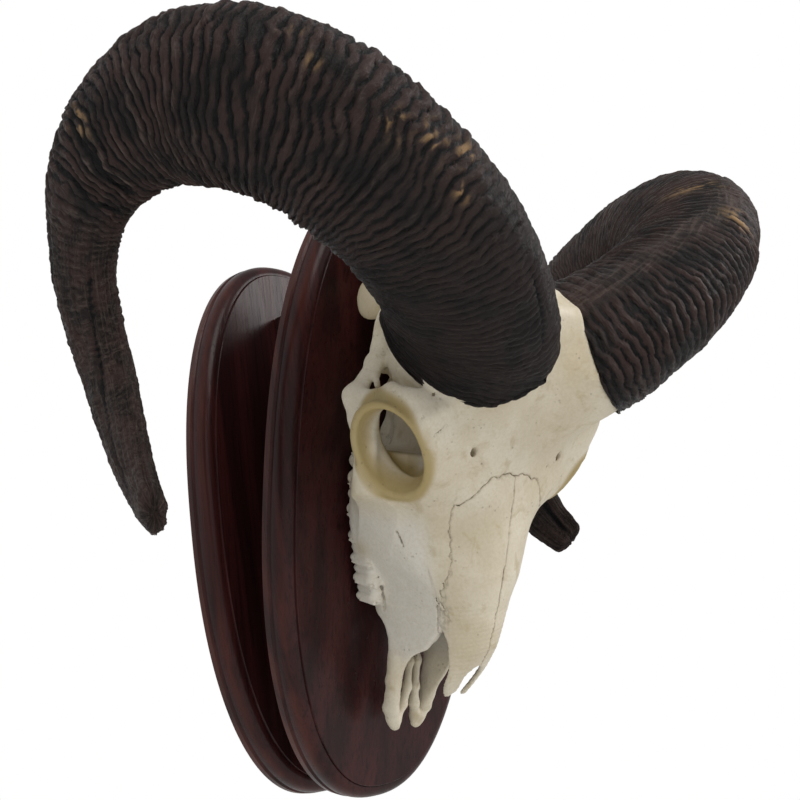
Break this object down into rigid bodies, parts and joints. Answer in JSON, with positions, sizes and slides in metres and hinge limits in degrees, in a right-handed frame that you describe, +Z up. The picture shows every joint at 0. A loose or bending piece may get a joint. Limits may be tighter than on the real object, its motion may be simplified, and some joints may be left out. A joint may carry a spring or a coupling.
{
  "type": "ram skull wall mount",
  "caption": "Ram skull with curled ribbed horns, pegged to a leaning oval wooden plaque that a wedge batten carries off a rear wall board.",
  "frame": {"origin": "middle of the rear board's back, on the wall", "axes": "+Y into the wall, -Y the way the ram faces, +Z up, +X to the ram's left"},
  "size_m": [0.3837, 0.2608, 0.3322],
  "materials": {
    "mahogany": "dark reddish stain under satin lacquer",
    "bone": "dry ivory bone, whiter on the cheeks and yellower in the hollows",
    "horn": "dark brown horn with a dull sheen on its ridges"
  },
  "bodies": {
    "root": {"plaque_rear": "mahogany", "plaque_front": "mahogany", "plaque_spacer": "mahogany", "skull_peg": "mahogany", "horn_left": "horn", "horn_right": "horn", "cranium": "bone", "nasal_left": "bone", "nasal_right": "bone", "maxilla_left": "bone", "maxilla_right": "bone", "premaxilla_left": "bone", "premaxilla_right": "bone", "cheekbone_left": "bone", "cheekbone_right": "bone"}
  },
  "joints": []
}
